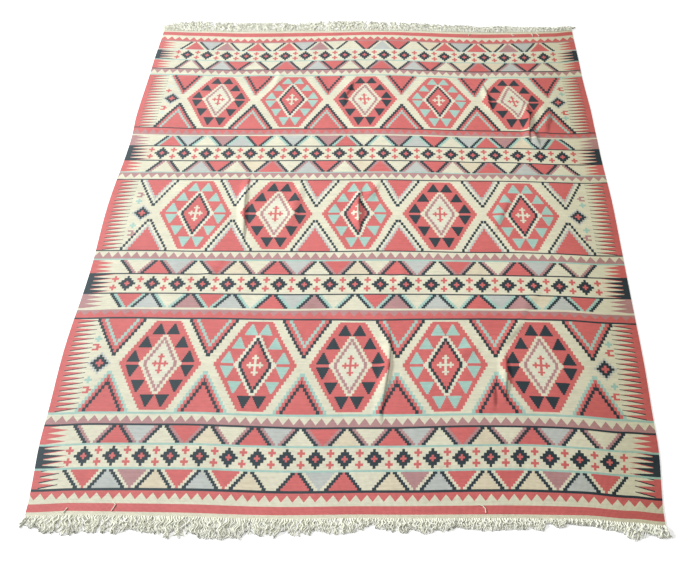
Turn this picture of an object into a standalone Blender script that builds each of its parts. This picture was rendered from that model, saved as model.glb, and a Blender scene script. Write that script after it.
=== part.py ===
"""Flat-woven kilim rug with a warp fringe at each end, lying on a floor.

Metres, +Z up. X runs across the rug and Y along its warps, with the near end
at -Y. The origin is the middle of the floor that the laid rug covers.
The cloth is one thin sheet whose underside lies flat at Z = 0 and lifts only
under its folds. Each fringe is one comb along its end of the cloth.
"""

import math

import bmesh
import bpy
from mathutils import Vector

# Driving sizes
CLOTH_THICKNESS = 0.003
PIECE_GAP = 0.0003
FRINGE_THICKNESS = 0.006
FRINGE_HEADER = 0.006
TUFT_COUNT = 56
TUFT_ROOT_SHARE = 0.86
TUFT_TIP_SHARE = 0.56
TUFT_UNEVEN = 0.10
TUFT_SWAY = 0.007
CORNER_SPLAY = 0.016

# The sheet's grid of cells, halved twice around each fold
CELLS_ACROSS = 24
CELLS_ALONG = 28
FOLD_HALVINGS = 2
FOLD_MARGIN = 0.03

# Half widths of the laid cloth at places along it, which bow out in the middle
SIDE_STATIONS = (
    # along, left, right
    (1.200, 1.004, 1.000),
    (0.900, 1.011, 1.006),
    (0.600, 1.017, 1.018),
    (0.450, 1.010, 1.021),
    (0.050, 1.027, 1.033),
    (-0.250, 1.020, 1.033),
    (-0.600, 1.031, 1.034),
    (-0.900, 1.022, 1.028),
    (-1.200, 1.000, 1.003),
)

# Distance from the middle to each woven end, and the fringe lengths there
END_STATIONS = (
    # across, far end, near end, far fringe, near fringe
    (-1.000, 1.197, 1.213, 0.046, 0.040),
    (-0.850, 1.192, 1.206, 0.064, 0.061),
    (-0.550, 1.189, 1.207, 0.061, 0.058),
    (-0.250, 1.195, 1.212, 0.062, 0.059),
    (0.100, 1.199, 1.206, 0.056, 0.042),
    (0.600, 1.188, 1.200, 0.048, 0.038),
    (0.750, 1.189, 1.200, 0.044, 0.031),
    (0.900, 1.194, 1.209, 0.036, 0.053),
    (1.000, 1.206, 1.217, 0.032, 0.046),
)
FAR_END = {"edge": 1, "fringe": 3, "outward": 1.0, "phase": 0.7}
NEAR_END = {"edge": 2, "fringe": 4, "outward": -1.0, "phase": 2.9}

# Low folds that the cloth keeps where it lies, each a soft ridge
FOLDS = (
    # name, across, along, length, width, height, turn in degrees from the warps
    ("corner fold", 0.722, 0.555, 0.270, 0.070, 0.013, 2.0),
    ("corner outer fold", 0.792, 0.540, 0.230, 0.070, 0.010, 24.0),
    ("far right pucker", 0.572, 0.715, 0.180, 0.070, 0.008, 30.0),
    ("far middle pucker", -0.098, 0.755, 0.200, 0.070, 0.008, -30.0),
    ("middle left fold", -0.480, 0.010, 0.340, 0.080, 0.011, -2.0),
    ("middle left swell", -0.285, 0.060, 0.320, 0.100, 0.010, -4.0),
    ("centre fold", -0.010, 0.050, 0.260, 0.070, 0.012, -3.0),
    ("near middle fold", 0.120, -0.690, 0.330, 0.080, 0.010, -4.0),
    ("near right swell", 0.430, -0.600, 0.200, 0.090, 0.007, -42.0),
    ("near right fold", 0.530, -0.730, 0.260, 0.080, 0.009, 3.0),
)
FOLD_NAME, FOLD_ACROSS, FOLD_ALONG, FOLD_LENGTH, FOLD_WIDTH, FOLD_HEIGHT, FOLD_TURN = range(7)


def remove_objects():
    for scene_object in list(bpy.data.objects):
        bpy.data.objects.remove(scene_object, do_unlink=True)


def make_material(name, colour, roughness):
    material = bpy.data.materials.new(name)
    material.use_nodes = True
    shader = material.node_tree.nodes["Principled BSDF"]
    shader.inputs["Base Color"].default_value = (*colour, 1.0)
    shader.inputs["Roughness"].default_value = roughness
    shader.inputs["Metallic"].default_value = 0.0
    return material


def eased_station(stations, place, column):
    """Read a column at a place between stations, easing from row to row."""
    rows = sorted(stations)
    place = min(max(place, rows[0][0]), rows[-1][0])
    for lower, upper in zip(rows, rows[1:]):
        if place <= upper[0]:
            share = (place - lower[0]) / (upper[0] - lower[0])
            eased = 0.5 - 0.5 * math.cos(math.pi * share)
            return lower[column] + (upper[column] - lower[column]) * eased
    return rows[-1][column]


def laid_place(across, along):
    """Place a point of the sheet, given from -1 to 1 each way, on the floor."""
    left = eased_station(SIDE_STATIONS, along * SIDE_STATIONS[0][0], 1)
    right = eased_station(SIDE_STATIONS, along * SIDE_STATIONS[0][0], 2)
    far = eased_station(END_STATIONS, across, FAR_END["edge"])
    near = eased_station(END_STATIONS, across, NEAR_END["edge"])
    x = -left + (left + right) * (across + 1.0) / 2.0
    y = -near + (near + far) * (along + 1.0) / 2.0
    return x, y


def fold_reach(fold, x, y):
    """Return how far along and across a fold a point lies, 1 at the fold's rim."""
    turn = math.radians(fold[FOLD_TURN])
    offset_x = x - fold[FOLD_ACROSS]
    offset_y = y - fold[FOLD_ALONG]
    lengthwise = offset_y * math.cos(turn) - offset_x * math.sin(turn)
    crosswise = offset_x * math.cos(turn) + offset_y * math.sin(turn)
    return 2.0 * lengthwise / fold[FOLD_LENGTH], 2.0 * crosswise / fold[FOLD_WIDTH]


def fold_lift(x, y):
    """Return the height of the folds above the floor at a point."""
    lift = 0.0
    for fold in FOLDS:
        lengthwise, crosswise = fold_reach(fold, x, y)
        if abs(lengthwise) < 1.0 and abs(crosswise) < 1.0:
            rise = (1.0 - lengthwise**2) ** 2 * (1.0 - crosswise**2) ** 2
            lift = max(lift, fold[FOLD_HEIGHT] * rise)
    return lift


def near_fold(face):
    """Tell whether a face lies within a fold's rim or just outside it."""
    centre = face.calc_center_median()
    size = max(edge.calc_length() for edge in face.edges)
    for fold in FOLDS:
        lengthwise, crosswise = fold_reach(fold, centre.x, centre.y)
        margin = FOLD_MARGIN + size / 2.0
        if abs(lengthwise) < 1.0 + 2.0 * margin / fold[FOLD_LENGTH]:
            if abs(crosswise) < 1.0 + 2.0 * margin / fold[FOLD_WIDTH]:
                return True
    return False


def link_mesh(name, bm, material):
    mesh = bpy.data.meshes.new(name)
    bm.to_mesh(mesh)
    bm.free()
    mesh.materials.append(material)
    part = bpy.data.objects.new(name, mesh)
    bpy.context.scene.collection.objects.link(part)
    return part


def make_cloth(material):
    """Lay the woven sheet: a grid on the floor, finer at its folds, made thick."""
    bm = bmesh.new()
    bmesh.ops.create_grid(bm, x_segments=CELLS_ACROSS, y_segments=CELLS_ALONG, size=1.0)
    for vert in bm.verts:
        vert.co.x, vert.co.y = laid_place(vert.co.x, vert.co.y)
    for _ in range(FOLD_HALVINGS):
        folded_edges = {edge for face in bm.faces if near_fold(face) for edge in face.edges}
        ordered_edges = [edge for edge in bm.edges if edge in folded_edges]
        bmesh.ops.subdivide_edges(bm, edges=ordered_edges, cuts=1, use_grid_fill=True)
    for vert in bm.verts:
        vert.co.z = fold_lift(vert.co.x, vert.co.y)
    bmesh.ops.triangulate(bm, faces=bm.faces[:])
    bmesh.ops.recalc_face_normals(bm, faces=bm.faces[:])
    if sum(face.normal.z for face in bm.faces) < 0.0:
        bmesh.ops.reverse_faces(bm, faces=bm.faces[:])
    cloth = link_mesh("woven_cloth", bm, material)
    wall = cloth.modifiers.new("cloth thickness", "SOLIDIFY")
    wall.thickness = CLOTH_THICKNESS
    wall.offset = 1.0
    return cloth


def tuft_points(end, index):
    """Return a tuft's outline from its left root round the tip to its right root."""
    pitch = 2.0 / TUFT_COUNT
    across = -1.0 + pitch * (index + 0.5)
    wave = math.sin(2.3 * index + end["phase"]) + 0.6 * math.sin(5.1 * index + end["phase"])
    length = eased_station(END_STATIONS, across, end["fringe"]) * (1.0 + TUFT_UNEVEN * wave)
    sway = TUFT_SWAY * math.sin(0.9 * index + end["phase"]) + CORNER_SPLAY * across**15
    root_half = pitch * TUFT_ROOT_SHARE / 2.0
    tip_half = pitch * TUFT_TIP_SHARE / 2.0
    points = []
    outline = ((-root_half, 0.0), (-root_half, 0.4), (-tip_half, 0.9), (0.0, 1.0),
               (tip_half, 0.9), (root_half, 0.4), (root_half, 0.0))
    for side, share in outline:
        x, y = laid_place(across + side, end["outward"])
        reach = PIECE_GAP + FRINGE_HEADER + length * share
        points.append((x + sway * share, y + end["outward"] * reach))
    return points


def make_fringe(name, end, material):
    """Make one end's fringe: a header strip with a row of uneven tufts."""
    outline = []
    for index in range(TUFT_COUNT):
        outline.extend(tuft_points(end, index))
    for cell in range(CELLS_ACROSS, -1, -1):
        x, y = laid_place(-1.0 + 2.0 * cell / CELLS_ACROSS, end["outward"])
        outline.append((x, y + end["outward"] * PIECE_GAP))
    bm = bmesh.new()
    corners = [bm.verts.new((x, y, 0.0)) for x, y in outline]
    base = bm.faces.new(corners)
    raised = bmesh.ops.extrude_face_region(bm, geom=[base])
    raised_verts = [part for part in raised["geom"] if isinstance(part, bmesh.types.BMVert)]
    bmesh.ops.translate(bm, verts=raised_verts, vec=(0.0, 0.0, FRINGE_THICKNESS))
    bmesh.ops.triangulate(bm, faces=bm.faces[:])
    bmesh.ops.recalc_face_normals(bm, faces=bm.faces[:])
    return link_mesh(name, bm, material)


def centre_on_floor(parts):
    """Move the rug so that the middle of the floor it covers is the origin."""
    corners = [vert.co for part in parts for vert in part.data.vertices]
    middle_x = (min(corner.x for corner in corners) + max(corner.x for corner in corners)) / 2.0
    middle_y = (min(corner.y for corner in corners) + max(corner.y for corner in corners)) / 2.0
    for part in parts:
        for vert in part.data.vertices:
            vert.co -= Vector((middle_x, middle_y, 0.0))


def main():
    remove_objects()
    wool = make_material("woven wool", (0.60, 0.22, 0.22), 0.9)
    warp = make_material("cotton warp", (0.72, 0.71, 0.62), 0.9)
    cloth = make_cloth(wool)
    far_fringe = make_fringe("far_fringe", FAR_END, warp)
    near_fringe = make_fringe("near_fringe", NEAR_END, warp)
    centre_on_floor((cloth, far_fringe, near_fringe))


main()
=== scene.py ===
"""A flat-woven kilim rug with a warp fringe at each end, lying on a pale floor.

The cloth is one thin sheet, woven in bands from its near end to its far end. Each band has
its own yarn pattern, worked out from sums on the place across the rug and the rise within
the band. The fringe at each end is a mass of loose warp ends.
"""

import math
import random

import bmesh
import bpy
from mathutils import Matrix, Vector, noise


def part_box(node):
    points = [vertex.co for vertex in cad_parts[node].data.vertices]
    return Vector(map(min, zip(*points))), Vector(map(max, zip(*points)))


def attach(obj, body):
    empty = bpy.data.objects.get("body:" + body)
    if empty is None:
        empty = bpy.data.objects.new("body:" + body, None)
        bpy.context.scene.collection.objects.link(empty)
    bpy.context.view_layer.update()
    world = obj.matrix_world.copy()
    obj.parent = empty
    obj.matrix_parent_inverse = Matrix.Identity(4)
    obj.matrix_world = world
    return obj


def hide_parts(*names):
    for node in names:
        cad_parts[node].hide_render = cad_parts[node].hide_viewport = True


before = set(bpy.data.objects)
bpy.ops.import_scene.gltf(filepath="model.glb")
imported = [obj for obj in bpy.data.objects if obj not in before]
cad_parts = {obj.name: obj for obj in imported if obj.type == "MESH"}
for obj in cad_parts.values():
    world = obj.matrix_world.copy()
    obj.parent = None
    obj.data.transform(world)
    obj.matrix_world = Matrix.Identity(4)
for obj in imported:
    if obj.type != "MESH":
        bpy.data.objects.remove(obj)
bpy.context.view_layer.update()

# ------------------------ sizes of the laid rug
CLOTH_THICKNESS = 0.003

# Distances from the middle to the near and the far woven end, along the middle warp
NEAR_REACH = 1.206
FAR_REACH = 1.199

# The grid of the cloth: columns in each comb edge, widest and finest columns, and row height
SIDE_COLUMNS = 9
WIDE_CELL = 0.0155
FINE_CELL = 0.0042
CELL_GROWTH = 0.3
ROW_HEIGHT = 0.0135
BAKE_MARGIN = 0.004

# The comb blades: where their tips and solid roots lie, from 0 in the middle to 1 at the side
COMB_TIP = 0.905
COMB_SOLID = 0.980

# Half widths of the laid cloth at places along it, which bow out in the middle
SIDE_STATIONS = (
    # along, left, right
    (1.200, 1.004, 1.000),
    (0.900, 1.011, 1.006),
    (0.600, 1.017, 1.018),
    (0.450, 1.010, 1.021),
    (0.050, 1.027, 1.033),
    (-0.250, 1.020, 1.033),
    (-0.600, 1.031, 1.034),
    (-0.900, 1.022, 1.028),
    (-1.200, 1.000, 1.003),
)
HALF_LENGTH = SIDE_STATIONS[0][0]

# Distance from the middle to each woven end
END_STATIONS = (
    # across, far end, near end
    (-1.000, 1.197, 1.213),
    (-0.850, 1.192, 1.206),
    (-0.550, 1.189, 1.207),
    (-0.250, 1.195, 1.212),
    (0.100, 1.199, 1.206),
    (0.600, 1.188, 1.200),
    (0.750, 1.189, 1.200),
    (0.900, 1.194, 1.209),
    (1.000, 1.206, 1.217),
)

# How far each fringe reaches at places across, with the notches between its bunches
NEAR_BUNCHES = (
    (-1.000, 0.034), (-0.955, 0.036), (-0.920, 0.054), (-0.863, 0.060), (-0.800, 0.053),
    (-0.700, 0.055), (-0.668, 0.040), (-0.620, 0.051), (-0.570, 0.054), (-0.540, 0.066),
    (-0.525, 0.045), (-0.500, 0.066), (-0.480, 0.050), (-0.440, 0.064), (-0.390, 0.065),
    (-0.320, 0.060), (-0.300, 0.046), (-0.240, 0.052), (-0.215, 0.042), (-0.193, 0.058),
    (-0.170, 0.040), (-0.143, 0.052), (-0.115, 0.038), (-0.100, 0.050), (-0.080, 0.038),
    (-0.030, 0.048), (0.030, 0.042), (0.085, 0.024), (0.100, 0.016), (0.120, 0.034),
    (0.190, 0.043), (0.215, 0.032), (0.250, 0.046), (0.290, 0.034), (0.320, 0.040),
    (0.350, 0.026), (0.400, 0.032), (0.450, 0.038), (0.520, 0.033), (0.600, 0.033),
    (0.622, 0.038), (0.634, 0.016), (0.678, 0.028), (0.695, 0.014), (0.750, 0.020),
    (0.850, 0.030), (0.905, 0.052), (0.940, 0.032), (0.975, 0.043), (1.000, 0.038),
)
FAR_BUNCHES = (
    (-1.000, 0.040), (-0.930, 0.066), (-0.850, 0.076), (-0.720, 0.068), (-0.600, 0.070),
    (-0.430, 0.072), (-0.370, 0.058), (-0.240, 0.072), (-0.180, 0.078), (-0.030, 0.078),
    (0.050, 0.066), (0.140, 0.066), (0.330, 0.058), (0.470, 0.052), (0.540, 0.044),
    (0.650, 0.050), (0.800, 0.042), (0.900, 0.036), (1.000, 0.034),
)
FAR_END = {"bunches": FAR_BUNCHES, "outward": 1.0, "reach": FAR_REACH, "seed": 11, "corner": 1.3}
NEAR_END = {"bunches": NEAR_BUNCHES, "outward": -1.0, "reach": NEAR_REACH, "seed": 23, "corner": 0.4}

# How far the woven lines run towards the far end, in metres, at five places across
WAVE_PLACES = (-0.93, -0.50, 0.00, 0.53, 0.94)
LINE_WAVES = (
    # along, then the five shifts
    (-1.200, -0.001, 0.004, 0.000, 0.010, -0.004),
    (-1.120, -0.006, 0.004, 0.000, 0.008, -0.005),
    (-0.970, 0.000, 0.007, 0.000, 0.010, -0.003),
    (-0.900, 0.005, 0.008, 0.000, 0.010, -0.003),
    (-0.850, 0.000, 0.003, 0.000, 0.006, -0.006),
    (-0.470, 0.002, 0.004, 0.000, 0.007, -0.002),
    (-0.430, -0.004, -0.001, 0.000, 0.001, -0.008),
    (-0.270, -0.002, 0.000, 0.000, -0.001, -0.006),
    (-0.160, 0.000, 0.000, 0.000, 0.000, -0.011),
    (0.210, -0.002, 0.003, 0.000, -0.001, -0.009),
    (0.320, -0.004, -0.002, 0.000, -0.006, -0.018),
    (0.480, -0.004, 0.000, 0.000, -0.007, -0.016),
    (0.520, 0.005, -0.001, 0.000, -0.007, -0.023),
    (0.870, 0.004, -0.003, 0.000, -0.010, -0.007),
    (0.980, 0.004, -0.006, 0.000, -0.011, -0.010),
    (1.120, -0.004, -0.013, 0.000, -0.013, -0.007),
    (1.200, 0.000, -0.008, 0.000, -0.010, -0.003),
)
LINE_RIPPLE = 0.0028
SIDE_RIPPLE = 0.0022
SWELL_HEIGHT = 0.0012

# How sharply the lines come to rest at each woven end
NEAR_CALM = 12
FAR_CALM = 80

# Creases that the cloth keeps where it lies: low on the left, steep on the right
CREASES = (
    # name, across, along, length, width, height, turn in degrees from the warps, bend, take-up
    ("corner fold", 0.722, 0.555, 0.290, 0.059, 0.013, 2.0, 0.010, 0.010),
    ("corner second fold", 0.756, 0.490, 0.150, 0.049, 0.010, 4.0, 0.0, 0.006),
    ("corner outer fold", 0.812, 0.575, 0.200, 0.056, 0.009, 10.0, 0.014, 0.002),
    ("far right crease", 0.551, 0.722, 0.220, 0.049, 0.008, 14.0, 0.006, 0.010),
    ("far middle pucker", -0.078, 0.775, 0.120, 0.049, 0.007, -12.0, 0.006, 0.005),
    ("far middle dimple", -0.100, 0.700, 0.100, 0.054, 0.005, 10.0, 0.0, 0.001),
    ("far left crease", -0.410, 0.830, 0.170, 0.059, 0.005, -14.0, 0.0, 0.004),
    ("middle left crease", -0.468, 0.055, 0.420, 0.054, 0.009, 1.0, -0.007, 0.006),
    ("middle left swell", -0.262, 0.075, 0.290, 0.060, 0.009, -3.0, 0.008, 0.002),
    ("middle dimple", -0.208, 0.110, 0.090, 0.050, 0.004, -20.0, 0.0, 0.0),
    ("centre fold", -0.004, 0.052, 0.250, 0.057, 0.013, -1.0, -0.005, 0.010),
    ("centre swell", 0.055, 0.150, 0.130, 0.060, 0.006, -14.0, 0.0, 0.0),
    ("near middle crease", 0.114, -0.690, 0.440, 0.057, 0.009, 1.0, 0.016, 0.005),
    ("near left dimple", -0.330, -0.600, 0.200, 0.060, 0.005, 6.0, 0.0, 0.001),
    ("near right dimple", 0.415, -0.598, 0.110, 0.059, 0.006, -58.0, 0.0, 0.0),
    ("near right swell", 0.575, -0.520, 0.170, 0.060, 0.006, -40.0, 0.0, 0.0),
    ("near right crease", 0.536, -0.705, 0.210, 0.051, 0.010, 0.0, 0.004, 0.004),
    ("near inner crease", 0.490, -0.780, 0.110, 0.049, 0.006, -4.0, 0.0, 0.002),
    ("right band swell", 0.640, -0.395, 0.200, 0.080, 0.005, -35.0, 0.0, 0.0),
    ("right middle swell", 0.570, 0.040, 0.260, 0.070, 0.005, -24.0, 0.0, 0.0),
    ("left middle swell", -0.560, -0.260, 0.170, 0.070, 0.004, -30.0, 0.0, 0.0),
    ("centre band swell", 0.180, -0.280, 0.150, 0.070, 0.004, 20.0, 0.0, 0.0),
)
CREASE_HEIGHT = 5
CREASE_TAKE_UP = 8

# Across a crease, from -1 to 1: its crest, its foot, and where it draws the cloth in
CREST = 0.38
FOOT = 0.70
STEEP = 0.54

# Strips across the rug where the sharpest creases lie and the grid is finest
FINE_STRIPS = (
    # across, half width
    (-0.466, 0.028),
    (-0.075, 0.024),
    (0.004, 0.026),
    (0.122, 0.034),
    (0.550, 0.048),
    (0.745, 0.058),
)

# Places where the cloth has been pushed a little aside
PUSHES = (
    # across, along, reach, shift across, shift along
    (0.640, 0.815, 0.090, -0.004, 0.004),
    (0.680, 0.610, 0.075, 0.012, 0.008),
    (0.740, 0.700, 0.080, -0.004, -0.004),
    (0.620, 0.700, 0.080, 0.012, 0.000),
    (-0.480, 0.860, 0.100, 0.006, 0.004),
)


# ------------------------ yarns
YARNS = {
    "red": (0.565, 0.125, 0.120),
    "mauve": (0.410, 0.220, 0.220),
    "cream": (0.650, 0.630, 0.488),
    "white": (0.655, 0.644, 0.518),
    "beige": (0.640, 0.570, 0.420),
    "grey": (0.450, 0.475, 0.450),
    "navy": (0.019, 0.032, 0.041),
    "aqua": (0.330, 0.520, 0.460),
    "pale": (0.560, 0.640, 0.580),
    # a pale cool tint, painted over the left side as a sheen of the window light
    "painted left sheen": (0.720, 0.860, 0.900),
    # yellowing with painted shade, multiplied over the right side where the light falls off
    "yellowing and painted shade": (0.780, 0.765, 0.680),
}
LETTERS = {"R": "red", "M": "mauve", "C": "cream", "B": "beige", "G": "grey"}

# The bands in the order in which they are woven, from the near end to the far end
BANDS = (
    # pattern, height
    ("plain cream", 0.0120),
    ("plain red", 0.0265),
    ("teeth near", 0.0425),
    ("plain navy", 0.0084),
    ("triangles D3", 0.0604),
    ("plain aqua", 0.0070),
    ("diamonds", 0.0759),
    ("plain aqua", 0.0070),
    ("triangles D1", 0.0604),
    ("plain navy", 0.0070),
    ("teeth mauve", 0.0393),
    ("plain aqua", 0.0084),
    ("hexagons near", 0.3737),
    ("plain navy", 0.0070),
    ("teeth red", 0.0393),
    ("plain cream", 0.0084),
    ("triangles C3", 0.0604),
    ("plain navy", 0.0056),
    ("diamonds", 0.0843),
    ("plain navy", 0.0056),
    ("triangles C1", 0.0618),
    ("plain aqua", 0.0070),
    ("teeth mauve", 0.0365),
    ("plain navy", 0.0056),
    ("hexagons middle", 0.3695),
    ("plain navy", 0.0056),
    ("teeth cream", 0.0379),
    ("plain aqua", 0.0056),
    ("triangles B3", 0.0632),
    ("plain navy", 0.0056),
    ("diamonds", 0.0801),
    ("plain navy", 0.0056),
    ("triangles B1", 0.0604),
    ("plain cream", 0.0070),
    ("teeth mauve on red", 0.0323),
    ("plain navy", 0.0056),
    ("hexagons far", 0.3470),
    ("plain aqua", 0.0070),
    ("teeth cream", 0.0365),
    ("plain navy", 0.0056),
    ("triangles A3", 0.0590),
    ("plain aqua", 0.0056),
    ("diamonds", 0.0731),
    ("plain pale", 0.0056),
    ("triangles A1", 0.0604),
    ("plain mauve", 0.0070),
    ("teeth far", 0.0357),
    ("plain red", 0.0239),
    ("plain cream", 0.0110),
)
HEIGHTS = dict(BANDS)


# ------------------------ places on the rug
def eased_station(stations, place, column):
    """Read a column at a place between stations, easing from row to row."""
    rows = sorted(stations)
    place = min(max(place, rows[0][0]), rows[-1][0])
    for lower, upper in zip(rows, rows[1:]):
        if place <= upper[0]:
            share = (place - lower[0]) / (upper[0] - lower[0])
            eased = 0.5 - 0.5 * math.cos(math.pi * share)
            return lower[column] + (upper[column] - lower[column]) * eased
    return rows[-1][column]


def laid_place(across, along):
    """Place a point of the sheet, given from -1 to 1 each way, on the floor."""
    left = eased_station(SIDE_STATIONS, along * HALF_LENGTH, 1)
    right = eased_station(SIDE_STATIONS, along * HALF_LENGTH, 2)
    far = eased_station(END_STATIONS, across, 1)
    near = eased_station(END_STATIONS, across, 2)
    x = -left + (left + right) * (across + 1.0) / 2.0
    y = -near + (near + far) * (along + 1.0) / 2.0
    return x, y


def floor_middle():
    """Return how far the frame's origin lies from the middle that the tables measure from."""
    low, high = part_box("woven_cloth")
    bow = [laid_place(-1.0, step / 14.0 - 1.0)[0] for step in range(29)]
    ends = [laid_place(step / 12.0 - 1.0, -1.0)[1] for step in range(25)]
    return Vector((low[0] - min(bow), low[1] - min(ends), 0.0))


MIDDLE = floor_middle()


def line_wave(across, along):
    """Return how far a woven line strays towards the far end at a place."""
    shifts = [eased_station(LINE_WAVES, along, column + 1) for column in range(len(WAVE_PLACES))]
    drift = eased_station(tuple(zip(WAVE_PLACES, shifts)), across, 1)
    ripple = noise.noise(Vector((across * 4.6, along * 9.0, 3.1)))
    calm = 1.0 - abs(along / HALF_LENGTH) ** (FAR_CALM if along > 0.0 else NEAR_CALM)
    return (drift + LINE_RIPPLE * ripple) * max(calm, 0.0)


def crease_reach(crease, x, y):
    """Return how far along and across a crease a point lies, 1 at the crease's rim."""
    _, across, along, length, width, _, turn, bend, _ = crease
    turn = math.radians(turn)
    lengthwise = ((y - along) * math.cos(turn) - (x - across) * math.sin(turn)) * 2.0 / length
    crosswise = (x - across) * math.cos(turn) + (y - along) * math.sin(turn)
    crosswise -= bend * math.sin(2.4 * lengthwise + 0.6)
    return lengthwise, 2.0 * crosswise / width


def crease_profile(crosswise):
    """Return a crease's height across its width: a slow rise, then a steep drop."""
    if crosswise < CREST:
        share = (crosswise + 1.0) / (1.0 + CREST)
    else:
        share = max(0.0, (FOOT - crosswise) / (FOOT - CREST))
    return share * share * (3.0 - 2.0 * share)


def crease_shape(x, y):
    """Return the lift of the creases at a point and how far they draw the cloth in."""
    lift = 0.0
    draw = 0.0
    for crease in CREASES:
        lengthwise, crosswise = crease_reach(crease, x, y)
        if abs(lengthwise) >= 1.0:
            continue
        along_share = (1.0 - lengthwise**2) ** 1.2
        if abs(crosswise) < 1.0:
            lift = max(lift, crease[CREASE_HEIGHT] * along_share * crease_profile(crosswise))
        fading = math.exp(-abs(crosswise - STEEP) / 5.0)
        past = 1.0 + math.tanh(5.0 * (crosswise - STEEP))
        draw -= crease[CREASE_TAKE_UP] * along_share * past * fading
    return lift, draw


def pushed(x, y):
    """Move a point by the places where the cloth has been pushed aside."""
    for across, along, reach, shift_across, shift_along in PUSHES:
        near = math.exp(-((x - across) ** 2 + (y - along) ** 2) / reach**2)
        x += shift_across * near
        y += shift_along * near
    return x, y


def cloth_point(across, along_metres):
    """Lay a point of the flat cloth, from -1 to 1 across and in metres from its middle along."""
    along = 2.0 * (along_metres + NEAR_REACH) / (NEAR_REACH + FAR_REACH) - 1.0
    x, y = laid_place(across, along)
    y += line_wave(across, along_metres)
    wander = 1.0 - abs(across) ** 14
    x += SIDE_RIPPLE * noise.noise(Vector((across * 3.7, along_metres * 5.3, 8.4))) * wander
    x, y = pushed(x, y)
    lift, draw = crease_shape(x, y)
    x += draw * wander
    swell = noise.noise(Vector((x * 3.1, y * 2.3, 0.7)))
    swell += 0.5 * noise.noise(Vector((x * 8.0, y * 6.0, 5.0)))
    lift += SWELL_HEIGHT * max(swell + 0.1, 0.0)
    return Vector((x, y, lift)) + MIDDLE


# ------------------------ sums inside materials
def feed(port, value):
    """Give a node's port a measure, a socket, a yarn by its name or a plain number."""
    if isinstance(value, str):
        value = (*YARNS[value], 1.0)
    if isinstance(value, Measure):
        value = value.socket
    if isinstance(value, bpy.types.NodeSocket):
        value.id_data.links.new(value, port)
    else:
        port.default_value = value


class Measure:
    """A number that changes over a surface, so that a pattern can be written as a sum."""

    def __init__(self, tree, socket):
        self.tree = tree
        self.socket = socket

    def work(self, operation, *others):
        node = self.tree.nodes.new("ShaderNodeMath")
        node.operation = operation
        for port, value in zip(node.inputs, (self, *others)):
            feed(port, value)
        return Measure(self.tree, node.outputs[0])

    def __add__(self, other):
        return self.work("ADD", other)

    def __sub__(self, other):
        return self.work("SUBTRACT", other)

    def __mul__(self, other):
        return self.work("MULTIPLY", other)

    def __truediv__(self, other):
        return self.work("DIVIDE", other)

    def floor(self):
        return self.work("FLOOR")

    def part(self):
        """What is left past the last whole number."""
        return self - self.floor()

    def nearest(self):
        return self.work("ROUND")

    def size(self):
        return self.work("ABSOLUTE")

    def below(self, other):
        return self.work("LESS_THAN", other)

    def above(self, other):
        return self.work("GREATER_THAN", other)

    def least(self, other):
        return self.work("MINIMUM", other)

    def most(self, other):
        return self.work("MAXIMUM", other)

    def flipped(self):
        """The mask the other way round."""
        return self * -1.0 + 1.0

    def between(self, low, high):
        return self.above(low) * self.below(high)


SOCKET_KINDS = {"Yarn": "NodeSocketColor", "Colour": "NodeSocketColor", "Normal": "NodeSocketVector"}


def shared_group(name, inputs, outputs, work):
    """Build a node group whose outputs are worked out from its inputs."""
    tree = bpy.data.node_groups.new(name, "ShaderNodeTree")
    for way, labels in (("INPUT", inputs), ("OUTPUT", outputs)):
        for label in labels:
            kind = SOCKET_KINDS.get(label, "NodeSocketFloat")
            tree.interface.new_socket(name=label, in_out=way, socket_type=kind)
    entry = tree.nodes.new("NodeGroupInput")
    leave = tree.nodes.new("NodeGroupOutput")
    measures = [Measure(tree, entry.outputs[label]) for label in inputs]
    results = work(*measures) if measures else work(tree)
    for label, result in zip(outputs, results):
        feed(leave.inputs[label], result)
    return tree


def placed(tree, pattern, **values):
    """Place a shared pattern in a material and return its outputs as measures."""
    node = tree.nodes.new("ShaderNodeGroup")
    node.node_tree = PATTERNS[pattern]
    for label, value in values.items():
        feed(node.inputs[label.replace("_", " ").capitalize()], value)
    return [Measure(tree, socket) for socket in node.outputs]


def flat_map(tree, name):
    """Return the two measures of one of the cloth's own maps."""
    uv = tree.nodes.new("ShaderNodeUVMap")
    uv.uv_map = name
    split = tree.nodes.new("ShaderNodeSeparateXYZ")
    tree.links.new(uv.outputs[0], split.inputs[0])
    return Measure(tree, split.outputs[0]), Measure(tree, split.outputs[1])


def grain(across, along, scale, detail=2.0):
    """Return noise over a place given by two measures, from 0 to 1."""
    tree = across.tree
    join = tree.nodes.new("ShaderNodeCombineXYZ")
    feed(join.inputs[0], across)
    feed(join.inputs[1], along)
    cloud = tree.nodes.new("ShaderNodeTexNoise")
    cloud.inputs["Scale"].default_value = scale
    cloud.inputs["Detail"].default_value = detail
    feed(cloud.inputs["Vector"], join.outputs[0])
    return Measure(tree, cloud.outputs[0])


def woven(mask, over, under, blend="MIX"):
    """Weave one yarn over another where the mask is 1."""
    mix = mask.tree.nodes.new("ShaderNodeMix")
    mix.data_type = "RGBA"
    mix.blend_type = blend
    feed(mix.inputs[0], mask)
    feed(mix.inputs[6], under)
    feed(mix.inputs[7], over)
    return mix.outputs[2]


def layered(yarn, *layers):
    """Weave yarns over a first one, each where its mask is 1."""
    for mask, over in layers:
        yarn = woven(mask, over, yarn)
    return yarn


def shaded(colour, shade):
    """Lighten or darken a colour by a measure."""
    scale = shade.tree.nodes.new("ShaderNodeVectorMath")
    scale.operation = "SCALE"
    feed(scale.inputs[0], colour)
    feed(scale.inputs["Scale"], shade)
    return scale.outputs[0]


def relief(height, strength, depth):
    """Return the normals of a surface with a fine relief."""
    bump = height.tree.nodes.new("ShaderNodeBump")
    bump.inputs["Strength"].default_value = strength
    bump.inputs["Distance"].default_value = depth
    feed(bump.inputs["Height"], height)
    return bump.outputs[0]


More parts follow.
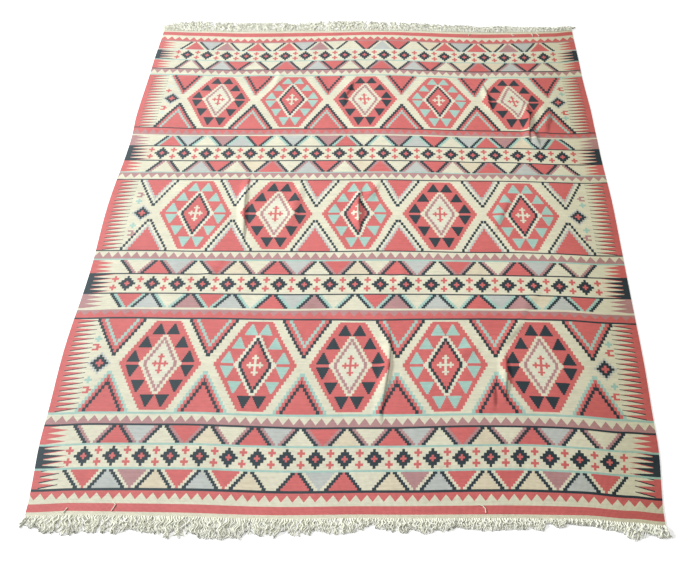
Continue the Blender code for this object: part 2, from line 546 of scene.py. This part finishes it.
def yarn_order(place, letters):
    """Choose a yarn by a whole-number place in a string of letters."""
    ramp = place.tree.nodes.new("ShaderNodeValToRGB")
    ramp.color_ramp.interpolation = "CONSTANT"
    stops = ramp.color_ramp.elements
    while len(stops) > 1:
        stops.remove(stops[-1])
    for index, letter in enumerate(letters):
        stop = stops[0] if index == 0 else stops.new(index / len(letters))
        stop.position = index / len(letters)
        stop.color = (*YARNS[LETTERS[letter]], 1.0)
    feed(ramp.inputs[0], (place + 0.5) / len(letters))
    return ramp.outputs[0]


def new_finish(name, looks):
    """Start a finish from its plain looks, and return it with its node tree and its shader."""
    material = bpy.data.materials.new(name)
    material.use_nodes = True
    shader = material.node_tree.nodes["Principled BSDF"]
    for label, value in looks.items():
        shader.inputs[label].default_value = value
    return material, material.node_tree, shader


def put_down(name, data):
    """Put a mesh, a path, a lamp or a camera into the scene."""
    thing = bpy.data.objects.new(name, data)
    bpy.context.scene.collection.objects.link(thing)
    return thing


# ------------------------ shared patterns
# Sizes across the rug are shares of its half width, and sizes along it are in metres
BLADE_TAPER = 0.485
TOOTH_PITCH = 0.0358
TRIANGLE_ROWS = 7
TRIANGLE_STEP = 0.0068
TRIANGLE_TIP = 0.0042
TRIANGLE_LINE = 0.0139
TRIANGLE_LINES = 0.0262
DIAMOND_PITCH = 0.0939
DIAMOND_CELL = (0.0089, 0.0097)
HEART_CELL = (0.0067, 0.0073)
PLUS_CELL = (0.0083, 0.0090)
SIDE_DIAMOND_CELL = (0.0086, 0.0094)
SIDE_DIAMOND_PLACE = 0.866
SIDE_MOTIF_PLACE = 0.889
HEXAGON_HEIGHT = 0.370
HEXAGON_ROW = 0.0135
HEXAGON_STEP = 0.0074
VALLEY_ROW = 0.0143
VALLEY_STEP = 0.0079
SMALL_ROW = 0.0077
SMALL_STEP = 0.0037
SMALL_HEIGHT = 0.0462
HEART_EDGE = 0.0455
HEART_LINE = 0.0565
WARP_PITCH = 0.0037
WEFT_PITCH = 0.0014


def work_band_place(tree):
    """The place across and the rise in the band, with the small wander of hand weaving."""
    across, rise = flat_map(tree, "band")
    cloth_across, cloth_along = flat_map(tree, "cloth")
    stray = grain(cloth_across, cloth_along, 160.0, 1.0) - 0.5
    drift = grain(cloth_across, cloth_along, 9.0, 1.0) - 0.5
    return across + stray * 0.0022 + drift * 0.006, rise + stray * 0.0012


def work_comb(across, rise, pitch, slant, line, tip):
    """Long blades of yarn that reach in from a side edge, each with a line under it."""
    inward = (across.size() * -1.0 + COMB_SOLID) / (tip * -1.0 + COMB_SOLID)
    reach = inward.most(0.0).least(1.0)
    place = (rise / pitch).part()
    upper = reach * (slant - BLADE_TAPER) + 1.0
    lower = reach * (slant + BLADE_TAPER)
    blade = place.above(lower) * place.below(upper)
    line_top = lower + line * (reach * -0.35 + 1.0)
    under = place.above(lower) * place.below(line_top) * reach.above(0.02)
    solid = reach.below(0.005)
    within = inward.below(1.0)
    return (blade.most(solid) * within, under * within * line.above(0.001))


def work_teeth(across, rise, foot, tip):
    """A row of saw teeth standing on a solid foot."""
    share = (across / TOOTH_PITCH).part() * 2.0 - 1.0
    height = (share.size() * -1.0 + 1.0) * (tip - foot) + foot
    return (rise.below(height),)


def work_cells(across, along, width, height):
    """How many cells a place lies from the middle, counted across and along together."""
    return ((across / width).size().nearest() + (along / height).size().nearest(),)


def work_triangles(across, depth, pitch, shift):
    """A row of twelve stepped triangles with eleven more between them."""
    place = ((across - shift) / pitch + 5.5).most(-0.5).least(11.5)
    twelve = place.nearest()
    from_eleven = (place.part() - 0.5).size() * pitch
    step = (depth * TRIANGLE_ROWS).floor()
    edge = from_eleven - step * TRIANGLE_STEP - TRIANGLE_TIP
    return (edge.below(0.0), edge.between(0.0, TRIANGLE_LINE),
            edge.between(TRIANGLE_LINE, TRIANGLE_LINES), twelve, place.floor() + 1.0)


def work_hexagon_place(across, rise, height, pitch, shift, lean):
    """Which hexagon a place belongs to, and how far it lies from its middle each way."""
    place = (across - shift) / pitch + 2.0
    number = place.nearest().most(0.0).least(4.0)
    aside = (place - number).size() * pitch
    share = rise / height
    up = (share - (share * -1.0 + 1.0) * share * lean - 0.5) * HEXAGON_HEIGHT
    return number, aside, up


def work_valley_place(across, pitch, shift):
    """How far a place lies from the middle of the nearest tall triangle."""
    place = ((across - shift) / pitch + 2.0).most(-0.99).least(4.99)
    return ((place.part() - 0.5).size() * pitch,)


def work_lattice(aside, up):
    """The stepped outline of a hexagon."""
    step = ((up.size() - 0.0084).most(-0.001) / HEXAGON_ROW).floor() + 1.0
    return (aside.below(step * -HEXAGON_STEP + 0.1417) * up.size().below(0.1777),)


def work_valley(from_valley, depth, half_width):
    """How far a place lies inside a tall stepped triangle, measured across."""
    step = (depth / VALLEY_ROW).floor()
    reach = half_width - step * VALLEY_STEP
    return ((reach - from_valley) * reach.above(0.0035),)


def work_small_triangles(aside, up):
    """Three small stepped triangles in each quarter of a hexagon."""
    tall = up.size()
    mask = None
    for middle, base in ((0.0950, 0.0055), (0.0645, 0.0645), (0.0257, 0.1195)):
        step = ((tall - base) / SMALL_ROW).floor()
        half = step * -SMALL_STEP + 0.0230
        one = (aside - middle).size().below(half) * tall.between(base, base + SMALL_HEIGHT)
        mask = one if mask is None else mask.most(one)
    return (mask,)


def work_heart(aside, up):
    """The stepped diamond at a hexagon's heart: its outline, line, filling and cross."""
    tall = up.size()
    step = (tall / HEXAGON_ROW).floor() * HEXAGON_ROW
    edge = aside + step * 0.535
    outline = edge.below(0.0680) * tall.below(0.118)
    nub = aside.below(0.0735) * tall.below(0.0068)
    line = edge.between(HEART_EDGE, HEART_LINE) * tall.below(0.112)
    filling = edge.below(HEART_EDGE)
    upright = aside.below(0.0042) * tall.below(0.0405)
    beam = tall.below(0.0042) * aside.below(0.0285)
    fork = tall.between(0.0245, 0.0315) * aside.below(0.0118)
    side_fork = aside.between(0.0140, 0.0208) * tall.below(0.0120)
    return (outline.most(nub), line, filling, upright.most(beam).most(fork).most(side_fork))


def work_hook(outward, up):
    """A small three-pronged hook that opens towards the side edge."""
    tall = up.size()
    prongs = tall.between(0.0060, 0.0135) * outward.between(-0.006, 0.014)
    bar = outward.between(-0.008, 0.001) * tall.below(0.0135)
    nub = outward.between(-0.0155, -0.007) * tall.below(0.0036)
    return (prongs.most(bar).most(nub),)


def work_wool(yarn):
    """The look of weft-faced wool: streaked dye, ribs over the warps, loose fibre, a painted sheen on
    the left and yellowing with painted shade on the right.
    """
    across, along = flat_map(yarn.tree, "cloth")
    streak = grain(across * 5.0, along * 260.0, 1.0, 3.0)
    patch = grain(across, along, 9.0, 3.0)
    fibre = grain(across, along, 700.0)
    mottle = grain(across * 0.6, along * 1.6, 70.0)
    shade = (streak - 0.5) * 0.34 + (patch - 0.5) * 0.26 + (fibre - 0.5) * 0.42 + 1.0
    shade = shade + (mottle - 0.5) * 0.30
    # painted sheen: a pale cool tint laid over the left side of the wool, where the window light falls
    painted_sheen_share = (across * -0.5 + 0.5 + (patch - 0.5) * 0.4).most(0.0).least(1.0) * 0.055
    with_painted_sheen = woven(painted_sheen_share, "painted left sheen", shaded(yarn, shade))
    # yellowing with painted shade: the wool is darkened and yellowed towards the right side, where the
    # window light falls off
    yellowed_and_shaded_share = (across - 0.10 + (patch - 0.5) * 0.6).most(0.0) * 0.60 + (across - 0.70).most(0.0) * 2.0
    yellowed_and_shaded = woven(yellowed_and_shaded_share.least(1.0), "yellowing and painted shade", with_painted_sheen, "MULTIPLY")
    pucker = grain(across, along * 1.3, 24.0, 2.5)
    rib = (across * (math.tau / WARP_PITCH)).work("SINE")
    weft = (along * (math.tau / WEFT_PITCH)).work("SINE")
    height = rib * 0.5 + weft * 0.25 + fibre * 0.7 + patch * 0.6 + pucker * 2.2
    return yellowed_and_shaded, fibre * 0.12 + 0.84, relief(height, 0.55, 0.0009)


# The groups that the bands share: name, inputs, outputs, and how they are worked out
SHARED_PATTERNS = (
    ("place in the band", (), ("Across", "Rise"), work_band_place),
    ("side comb", ("Across", "Rise", "Pitch", "Slant", "Line", "Tip"), ("Blade", "Line"), work_comb),
    ("saw teeth", ("Across", "Rise", "Foot", "Tip"), ("Teeth",), work_teeth),
    ("stepped cells", ("Across", "Along", "Width", "Height"), ("Cells",), work_cells),
    ("stepped triangles", ("Across", "Depth", "Pitch", "Shift"),
     ("Eleven", "Line", "Second line", "Place", "Gap"), work_triangles),
    ("hexagon place", ("Across", "Rise", "Height", "Pitch", "Shift", "Lean"),
     ("Number", "Aside", "Up"), work_hexagon_place),
    ("valley place", ("Across", "Pitch", "Shift"), ("From valley",), work_valley_place),
    ("hexagon outline", ("Aside", "Up"), ("Inside",), work_lattice),
    ("tall triangle", ("From valley", "Depth", "Half width"), ("Inside",), work_valley),
    ("small triangles", ("Aside", "Up"), ("Triangles",), work_small_triangles),
    ("hexagon heart", ("Aside", "Up"), ("Outline", "Line", "Filling", "Cross"), work_heart),
    ("side hook", ("Outward", "Up"), ("Hook",), work_hook),
    ("woven wool", ("Yarn",), ("Colour", "Roughness", "Normal"), work_wool),
)
PATTERNS = {row[0]: shared_group(*row) for row in SHARED_PATTERNS}


def wool_material(name, pattern):
    """Make a woven wool finish; pattern returns the yarn at each place."""
    material, tree, shader = new_finish(
        name, {"Specular IOR Level": 0.15, "Sheen Weight": 0.09, "Sheen Roughness": 0.5})
    colour, roughness, normal = placed(tree, "woven wool", yarn=pattern(tree))
    feed(shader.inputs["Base Color"], colour)
    feed(shader.inputs["Roughness"], roughness)
    feed(shader.inputs["Normal"], normal)
    return material


# ------------------------ band patterns
def with_comb(across, rise, ground, blade_yarn, pitch, slant=0.0, line=0.0, tip=COMB_TIP,
              line_yarn="navy"):
    """Weave the side comb over a band."""
    blade, under = placed(across.tree, "side comb", across=across, rise=rise, pitch=pitch,
                          slant=slant, line=line, tip=tip)
    combed = woven(blade, blade_yarn, ground)
    return woven(under, line_yarn, combed) if line > 0.0 else combed


def stepped_cells(across, along, cell):
    """Count cells out from a motif's middle."""
    width, height = cell
    return placed(across.tree, "stepped cells", across=across, along=along, width=width,
                  height=height)[0]


def plain_pattern(yarn):
    """One yarn from side to side."""
    return lambda tree: yarn


def teeth_pattern(foot, tip, tooth_yarn, ground_yarn, hung_from=None):
    """Saw teeth of one yarn on another, standing on the near side or hung from the far side."""
    def pattern(tree):
        across, rise = placed(tree, "place in the band")
        if hung_from is not None:
            rise = rise * -1.0 + hung_from
        teeth, = placed(tree, "saw teeth", across=across, rise=rise, foot=foot, tip=tip)
        return woven(teeth, tooth_yarn, ground_yarn)
    return pattern


def triangle_pattern(height, twelve, eleven, second_yarn, comb_yarn, eleven_points_near,
                     pitch=0.1500, shift=0.002, slant=0.0, line=0.0):
    """Twelve stepped triangles with a second line, and eleven plain ones between them."""
    def pattern(tree):
        across, rise = placed(tree, "place in the band")
        depth = rise / height
        if not eleven_points_near:
            depth = depth * -1.0 + 1.0
        inside, navy, second, place, gap = placed(
            tree, "stepped triangles", across=across, depth=depth, pitch=pitch, shift=shift)
        yarn = layered(yarn_order(place, twelve), (second, second_yarn), (navy, "navy"),
                       (inside, yarn_order(gap, "C" + eleven + "C")))
        return with_comb(across, rise, yarn, comb_yarn, height / 3.25, slant, line, 0.918)
    return pattern


def diamond_pattern(tree):
    """A row of small navy diamonds with red hearts, and pairs of red crosses between."""
    across, rise = placed(tree, "place in the band")
    up = rise - HEIGHTS["diamonds"] / 2.0
    place = (across + 0.005) / DIAMOND_PITCH
    aside = (place - place.nearest()) * DIAMOND_PITCH
    between = (place.part() - 0.5) * DIAMOND_PITCH
    cells = stepped_cells(aside, up, DIAMOND_CELL)
    hearts = stepped_cells(aside, up, HEART_CELL)
    crosses = stepped_cells(between, up.size() - 0.0197, PLUS_CELL)
    yarn = layered("cream",
                   (cells.below(3.5) * across.size().below(0.90), "navy"),
                   (hearts.below(1.5) * across.size().below(0.90), "red"),
                   (crosses.below(1.5) * across.size().below(0.94), "red"))
    return with_comb(across, rise + 0.0104, yarn, "navy", 0.0190, 0.16, 0.17, line_yarn="red")


def hexagon_pattern(height, first, hexagons, valleys, top, bottom, side_motifs, navy_feet=None,
                    squat=1.0, inset=0.0):
    """A row of five hexagons with tall triangles between, and small motifs at each side."""
    def pattern(tree):
        across, rise = placed(tree, "place in the band")
        pitch, shift, lean = hexagons
        number, aside, up = placed(tree, "hexagon place", across=across, rise=rise,
                                   height=height, pitch=pitch, shift=shift, lean=lean)
        from_valley, = placed(tree, "valley place", across=across, pitch=valleys[0],
                              shift=valleys[1])
        inside, = placed(tree, "hexagon outline", aside=aside, up=up)
        small, = placed(tree, "small triangles", aside=aside, up=up)
        outline, line, filling, cross = placed(tree, "hexagon heart", aside=aside, up=up)
        odd = (number / 2.0).part().above(0.25)
        red_heart = odd if first == "cream heart" else odd.flipped()
        small_yarn = woven(red_heart, "aqua", "navy")
        if navy_feet is not None:
            feet = number.between(navy_feet - 0.5, navy_feet + 0.5) * up.below(-0.110)
            small_yarn = woven(feet, "navy", small_yarn)
        yarn = layered("red", (small * inside, small_yarn),
                       (outline, woven(red_heart, "white", "cream")),
                       (filling, woven(red_heart, "red", "white")),
                       (cross * filling, woven(red_heart, "white", "red")),
                       (line, woven(red_heart, "navy", "mauve")))
        yarn = woven(inside, yarn, "cream")
        for (half_width, layers), depth in ((top, rise * -1.0 + height), (bottom, rise * squat)):
            deep, = placed(tree, "tall triangle", from_valley=from_valley, depth=depth,
                           half_width=half_width)
            start = 0.0
            for layer_yarn, width in layers:
                yarn = woven(deep.above(start), layer_yarn, yarn)
                start += width
        yarn = side_pattern(across.size() + inset, across, up, yarn, side_motifs)
        return with_comb(across, rise, yarn, "red", height / 19.0, 0.13, 0.20)
    return pattern


def side_pattern(aside, across, up, yarn, motifs):
    """A small diamond at each side of a band, with crosses and hooks above and below it."""
    cells = stepped_cells(aside - SIDE_DIAMOND_PLACE, up, SIDE_DIAMOND_CELL)
    yarn = layered(yarn, (cells.below(4.6), "grey"), (cells.below(3.5), "navy"),
                   (cells.below(1.5), "red"))
    for kind, motif_yarn, side, height in motifs:
        raised = up - height
        outward = aside
        if side == "left":
            outward = across * -1.0
        elif side == "right":
            outward = across
        outward = outward - SIDE_MOTIF_PLACE
        if kind == "cross":
            mask = stepped_cells(outward, raised, PLUS_CELL).below(1.5)
        else:
            mask, = placed(up.tree, "side hook", outward=outward, up=raised)
        yarn = woven(mask, motif_yarn, yarn)
    return yarn


TRIANGLE_BANDS = (
    # band, fills of the twelve and of the eleven, second line, comb, whether the eleven point to
    # the near end, then where they differ: pitch, shift, slant of the comb, line under its blades
    ("triangles D3", "RMRRCGCMRRMR", "GBGBRRBGBBG", "cream", "red", False, 0.1512, -0.006, 0.14, 0.24),
    ("triangles D1", "CGRCGRCGRCGC", "RCBRCBRCBRC", "mauve", "red", False, 0.1508, -0.003),
    ("triangles C3", "RCRCGCRCCGBR", "GMGRMCMGRMG", "aqua", "mauve", False, 0.1503, -0.001),
    ("triangles C1", "CGRCGRCGRCGC", "RCBRCBRCBRC", "mauve", "red", False, 0.1500, 0.000),
    ("triangles B3", "CGCRGCRGCRGC", "CRBCRBCRBCR", "mauve", "red", True),
    ("triangles B1", "RCGCCRCGCRBR", "GMRGMCMRGMG", "aqua", "mauve", True),
    ("triangles A3", "CGCRGCRGCRGC", "CRCCRCCRBBR", "mauve", "red", True),
    ("triangles A1", "RMRRMCGCRRMR", "GCCGCRRBGBG", "cream", "red", True),
)

# Widths of the layers inside the tall triangles
LINE = 0.0112
GAP = 0.0142

PATTERN_OF_BAND = {
    "diamonds": diamond_pattern,
    "teeth near": teeth_pattern(0.0065, 0.0290, "red", "cream", HEIGHTS["teeth near"]),
    "teeth mauve": teeth_pattern(0.0070, 0.0335, "mauve", "cream"),
    "teeth red": teeth_pattern(0.0110, 0.0335, "red", "mauve"),
    "teeth cream": teeth_pattern(0.0070, 0.0320, "cream", "mauve"),
    "teeth mauve on red": teeth_pattern(0.0042, 0.0280, "mauve", "red"),
    "teeth far": teeth_pattern(0.0056, 0.0255, "red", "cream"),
    "hexagons near": hexagon_pattern(
        HEIGHTS["hexagons near"], "cream heart", (0.3270, -0.001, 0.0), (0.3301, 0.0015),
        (0.0868, (("navy", LINE), ("red", GAP), ("aqua", LINE), ("red", 0.0))),
        (0.0880, (("aqua", LINE), ("red", 0.0118), ("navy", LINE), ("red", 0.0))),
        (("cross", "aqua", "both", 0.0985), ("hook", "red", "both", 0.0635),
         ("cross", "aqua", "both", -0.0640), ("hook", "red", "both", -0.1030)), navy_feet=1),
    "hexagons middle": hexagon_pattern(
        HEIGHTS["hexagons middle"], "red heart", (0.3211, -0.0013, 0.05), (0.3263, -0.0037),
        (0.0785, (("navy", 0.0100), ("white", 0.0110), ("grey", 0.0090), ("red", 0.0))),
        (0.0898, (("navy", 0.0100), ("white", 0.0110), ("grey", 0.0090), ("red", 0.0))),
        (("hook", "mauve", "both", 0.0975), ("cross", "aqua", "both", 0.0630),
         ("cross", "aqua", "both", -0.0665), ("hook", "mauve", "both", -0.1040)), inset=0.010),
    "hexagons far": hexagon_pattern(
        HEIGHTS["hexagons far"], "cream heart", (0.3295, 0.006, 0.16), (0.3297, 0.003),
        (0.0745, (("aqua", 0.0056), ("red", 0.0112), ("navy", LINE), ("red", 0.0))),
        (0.0945, (("navy", 0.0140), ("red", 0.0128), ("aqua", 0.0108), ("red", 0.0))),
        (("cross", "pale", "left", 0.0900), ("cross", "red", "left", 0.0560),
         ("hook", "red", "left", -0.0670), ("cross", "pale", "left", -0.0970),
         ("hook", "red", "right", 0.0930), ("cross", "aqua", "right", 0.0580),
         ("hook", "red", "right", -0.0660), ("cross", "aqua", "right", -0.0980)), squat=1.09),
}
for yarn in ("cream", "red", "navy", "aqua", "pale", "mauve"):
    PATTERN_OF_BAND["plain " + yarn] = plain_pattern(yarn)
for band, *row in TRIANGLE_BANDS:
    PATTERN_OF_BAND[band] = triangle_pattern(HEIGHTS[band], *row)


# ------------------------ the cloth
def band_rows():
    """List the cloth's rows from near to far: its band, and its low and high rise."""
    rows = []
    for band, (_, height) in enumerate(BANDS):
        count = max(1, round(height / ROW_HEIGHT))
        for row in range(count):
            rows.append((band, height * row / count, height * (row + 1) / count))
    return rows


def column_places():
    """List the places of the cloth's columns: close together where the creases are sharp."""
    side = [-1.0 + (1.0 - COMB_TIP) * cell / SIDE_COLUMNS for cell in range(SIDE_COLUMNS)]
    middle = [-COMB_TIP]
    while middle[-1] < COMB_TIP:
        outside = min(abs(middle[-1] - across) - half for across, half in FINE_STRIPS)
        middle.append(middle[-1] + min(WIDE_CELL, FINE_CELL + CELL_GROWTH * max(0.0, outside)))
    reach = middle[-1] + COMB_TIP
    middle = [2.0 * COMB_TIP * (place + COMB_TIP) / reach - COMB_TIP for place in middle]
    return side + middle + [-place for place in reversed(side)]


def make_cloth():
    """Weave the sheet as a grid whose rows follow the bands, laid with its creases."""
    rows = band_rows()
    columns = column_places()
    cells_across = len(columns) - 1
    names = sorted(PATTERN_OF_BAND)
    starts = [0.0]
    for _, height in BANDS:
        starts.append(starts[-1] + height)
    total = starts[-1]
    row_starts = [starts[band] + low for band, low, _ in rows] + [total]
    bm = bmesh.new()
    bmesh.ops.create_grid(bm, x_segments=cells_across, y_segments=len(rows), size=1.0)
    bake_map = bm.loops.layers.uv.new("OFBake")
    cloth_map = bm.loops.layers.uv.new("cloth")
    band_map = bm.loops.layers.uv.new("band")
    spread = 1.0 - 2.0 * BAKE_MARGIN
    grid_place = {}
    for vert in bm.verts:
        column = round((vert.co.x + 1.0) / 2.0 * cells_across)
        row = round((vert.co.y + 1.0) / 2.0 * len(rows))
        grid_place[vert] = (column, row)
    for face in bm.faces:
        row = min(grid_place[vert][1] for vert in face.verts)
        band, low, high = rows[row]
        pattern, height = BANDS[band]
        face.material_index = names.index(pattern)
        face.smooth = True
        # The diamonds are drawn for one height of band, and keep to the middle of the others
        centring = (HEIGHTS[pattern] - height) / 2.0 if pattern == "diamonds" else 0.0
        for loop in face.loops:
            column, corner_row = grid_place[loop.vert]
            across = columns[column]
            along = row_starts[corner_row]
            loop[bake_map].uv = (BAKE_MARGIN + spread * (across + 1.0) / 2.0,
                                 BAKE_MARGIN + spread * along / total)
            loop[cloth_map].uv = (across, along)
            loop[band_map].uv = (across, (low if corner_row == row else high) + centring)
    for vert, (column, row) in grid_place.items():
        along = row_starts[row] / total * (NEAR_REACH + FAR_REACH) - NEAR_REACH
        vert.co = cloth_point(columns[column], along)
    for edge in bm.edges:
        edge.smooth = not edge.is_boundary
    mesh = bpy.data.meshes.new("kilim_cloth")
    bm.to_mesh(mesh)
    bm.free()
    for name in names:
        mesh.materials.append(wool_material("wool " + name, PATTERN_OF_BAND[name]))
    cloth = put_down("kilim_cloth", mesh)
    wall = cloth.modifiers.new("cloth thickness", "SOLIDIFY")
    wall.thickness = CLOTH_THICKNESS
    wall.offset = 1.0
    return cloth


# ------------------------ the fringe
STRAND_POINTS = 15
STRAND_RADIUS = 0.0020
STRAND_SLACK = 1.16
THREAD_RADIUS = 0.0014
PLY_PITCH = 0.0016

# Strands past this place across splay out at a right corner
CORNER_START = 0.978

# Stray white threads on the woven ends, each through a few places: across, and metres along
LOOSE_THREADS = (
    ((-0.871, -1.184), (-0.877, -1.193), (-0.882, -1.203)),
    ((-0.731, -1.162), (-0.721, -1.172), (-0.726, -1.184), (-0.732, -1.196)),
    ((0.424, -1.166), (0.438, -1.169), (0.446, -1.178), (0.447, -1.194)),
    ((0.500, 1.190), (0.494, 1.182), (0.492, 1.174)),
    ((0.702, 1.188), (0.708, 1.174), (0.717, 1.179)),
    ((0.798, 1.190), (0.804, 1.178), (0.803, 1.166)),
    ((0.824, 1.197), (0.827, 1.184), (0.836, 1.172), (0.831, 1.164)),
)


def cotton_material():
    """Plied cotton warp: off-white, with painted shade on the strands near the floor and towards the
    far end, finely twisted.
    """
    material, tree, shader = new_finish("cotton warp", {"Roughness": 0.92, "Specular IOR Level": 0.1})
    coordinates = tree.nodes.new("ShaderNodeTexCoord")
    split = tree.nodes.new("ShaderNodeSeparateXYZ")
    feed(split.inputs[0], coordinates.outputs["Object"])
    across, along, up = (Measure(tree, socket) for socket in split.outputs)
    patch = grain(across * 5.0, along * 1.5, 22.0, 3.0)
    fibre = grain(across, along, 900.0)
    ramp = tree.nodes.new("ShaderNodeValToRGB")
    # painted shade: strands low on the floor get a near-black colour, standing in for the shadow
    # between and under them
    ramp.color_ramp.elements[0].position = 0.25
    ramp.color_ramp.elements[0].color = (0.11, 0.11, 0.075, 1.0)
    ramp.color_ramp.elements[1].position = 0.50
    ramp.color_ramp.elements[1].color = (0.83, 0.84, 0.72, 1.0)
    # painted shade by height: the lower a strand lies, the darker it is painted
    raised = (up / 0.0055).least(1.0)
    feed(ramp.inputs[0], raised * 0.66 + (patch - 0.5) * 0.80 + (fibre - 0.5) * 0.12)
    # painted shade: the far fringe is darkened, more so towards the right, as its strands lie further
    # from the light
    shade = (along / FAR_REACH).most(0.0) * (across * -0.05 - 0.13) + 1.0
    feed(shader.inputs["Base Color"], shaded(ramp.outputs[0], shade))
    twist = ((across + along) * (math.tau / PLY_PITCH)).work("SINE") * 0.4 + fibre
    feed(shader.inputs["Normal"], relief(twist, 0.5, 0.0006))
    return material


def strands_mesh(name, paths, material, radius):
    """Turn paths of points into one mesh of round strands."""
    curve = bpy.data.curves.new(name + "_path", "CURVE")
    curve.dimensions = "3D"
    curve.bevel_depth = radius
    curve.bevel_resolution = 1
    curve.use_fill_caps = True
    for path in paths:
        spline = curve.splines.new("POLY")
        spline.points.add(len(path) - 1)
        for point, (place, share) in zip(spline.points, path):
            point.co = (*place, 1.0)
            point.radius = share
    guide = put_down(name + "_path", curve)
    graph = bpy.context.evaluated_depsgraph_get()
    mesh = bpy.data.meshes.new_from_object(guide.evaluated_get(graph))
    bpy.data.objects.remove(guide, do_unlink=True)
    mesh.name = name
    mesh.materials.clear()
    mesh.materials.append(material)
    mesh.shade_smooth()
    return put_down(name, mesh)


def strand_path(end, across, rng, layer):
    """Lay one loose warp end from the woven edge out over the floor."""
    outward = end["outward"]
    root = cloth_point(max(-1.0, min(1.0, across)), outward * end["reach"])
    bunch = noise.noise(Vector((across * 17.0, end["seed"], 1.3)))
    tuft = noise.noise(Vector((across * 52.0, end["seed"], 7.9)))
    length = eased_station(end["bunches"], across, 1)
    length *= 1.04 + 0.22 * tuft + rng.uniform(-0.07, 0.02)
    lean = noise.noise(Vector((across * 13.0, end["seed"], 4.1))) + 1.1 * tuft
    corner = max(0.0, (across - CORNER_START) / (1.0 - CORNER_START))
    lean += rng.uniform(-0.14, 0.14) + 0.30 * across**9 + end["corner"] * corner
    curl = 0.85 + 0.6 * tuft + rng.uniform(-0.20, 0.20)
    waves = 1.9 + 0.9 * bunch + rng.uniform(-0.20, 0.20)
    phase = math.pi * (1.0 + 2.0 * bunch + 2.0 * tuft) + rng.uniform(-0.6, 0.6)
    arch = rng.uniform(0.3, 1.0) * (0.0010 + 0.0038 * layer)
    path = []
    x, y = root.x, root.y + outward * 0.0004
    step = length * STRAND_SLACK / (STRAND_POINTS - 1)
    for index in range(STRAND_POINTS):
        share = index / (STRAND_POINTS - 1)
        ease = min(0.3 + share * 3.5, 1.0)
        angle = lean * (0.2 + 0.8 * share)
        angle += curl * ease * math.sin(waves * math.tau * share + phase)
        height = STRAND_RADIUS + arch * math.sin(math.pi * min(0.06 + share, 1.0)) ** 0.7
        height += 0.0011 * ease * math.sin(waves * 1.7 * math.tau * share + phase)
        path.append(((x, y, max(height, STRAND_RADIUS)), 1.0 - 0.25 * share**3))
        x += step * math.sin(angle)
        y += outward * step * math.cos(angle)
    return path


def make_fringe(name, end, count, material):
    """Make the loose warp ends along one end of the cloth."""
    rng = random.Random(end["seed"])
    paths = []
    for index in range(count):
        across = -1.0 + 2.0 * (index + 0.5) / count + rng.uniform(-0.0014, 0.0014)
        paths.append(strand_path(end, across, rng, index % 3))
    return strands_mesh(name, paths, material, STRAND_RADIUS)


def make_loose_threads(material):
    """Lay the stray threads on top of the cloth."""
    paths = []
    for places in LOOSE_THREADS:
        path = []
        for start, stop in zip(places, places[1:]):
            for share in (0.0, 0.25, 0.5, 0.75):
                place = cloth_point(*(low + (high - low) * share for low, high in zip(start, stop)))
                path.append(((place.x, place.y, place.z + CLOTH_THICKNESS + THREAD_RADIUS), 1.0))
        paths.append(path)
    return strands_mesh("loose_threads", paths, material, THREAD_RADIUS)


# ------------------------ the studio
def make_floor():
    """Spread a wide pale floor under the rug."""
    mesh = bpy.data.meshes.new("floor")
    bm = bmesh.new()
    bmesh.ops.create_grid(bm, x_segments=1, y_segments=1, size=30.0)
    bm.to_mesh(mesh)
    bm.free()
    pale, _, _ = new_finish("pale floor", {
        "Base Color": (0.90, 0.90, 0.90, 1.0), "Roughness": 0.9, "Specular IOR Level": 0.0,
        "Emission Color": (1.0, 1.0, 1.0, 1.0), "Emission Strength": 0.30})
    mesh.materials.append(pale)
    put_down("floor", mesh)


def make_light(name, place, aim, size, power, colour):
    """Hang a square soft light that faces a place on the rug."""
    light = bpy.data.lights.new(name, "AREA")
    light.shape = "RECTANGLE"
    light.size = size
    light.size_y = size
    light.energy = power
    light.color = colour
    lamp = put_down(name, light)
    lamp.location = place
    lamp.rotation_euler = (Vector(aim) - Vector(place)).to_track_quat("-Z", "Y").to_euler()
    lamp.visible_camera = False


def make_studio():
    """Set the floor, the light of a window on the left, a room light and a faint pale sky."""
    make_floor()
    make_light("window light", (-8.5, 1.8, 4.2), (-0.2, 0.1, 0.0), 2.0, 1330.0, (0.98, 0.99, 1.0))
    make_light("room light", (0.0, 0.35, 2.9), (0.0, 0.1, 0.0), 2.2, 64.0, (1.0, 0.985, 0.95))
    world = bpy.data.worlds.new("studio")
    world.use_nodes = True
    sky = world.node_tree.nodes["Background"]
    sky.inputs["Color"].default_value = (1.0, 1.0, 1.0, 1.0)
    sky.inputs["Strength"].default_value = 0.16
    bpy.context.scene.world = world
    bpy.context.scene.view_settings.view_transform = "Standard"


def make_camera():
    """Look down on the rug from beyond its near end, a little to the right."""
    camera = bpy.data.cameras.new("camera")
    camera.sensor_width = 36.0
    camera.lens = 39.6
    camera.shift_x = -0.0584
    camera.shift_y = 0.0031
    camera.clip_end = 60.0
    view = put_down("camera", camera)
    turn = Matrix.Rotation(math.radians(1.606), 3, "Z")
    turn = turn @ Matrix.Rotation(math.radians(34.779), 3, "X")
    turn = turn @ Matrix.Rotation(math.radians(-0.877), 3, "Z")
    view.location = Vector((0.184, -1.9756, 2.3958)) + MIDDLE
    view.rotation_euler = turn.to_euler()
    bpy.context.scene.camera = view


cotton = cotton_material()
cloth = make_cloth()
near_fringe = make_fringe("near_fringe_strands", NEAR_END, 760, cotton)
far_fringe = make_fringe("far_fringe_strands", FAR_END, 700, cotton)
threads = make_loose_threads(cotton)

for piece in (cloth, near_fringe, far_fringe, threads):
    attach(piece, "root")
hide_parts("woven_cloth")
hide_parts("near_fringe")
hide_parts("far_fringe")

make_studio()
make_camera()
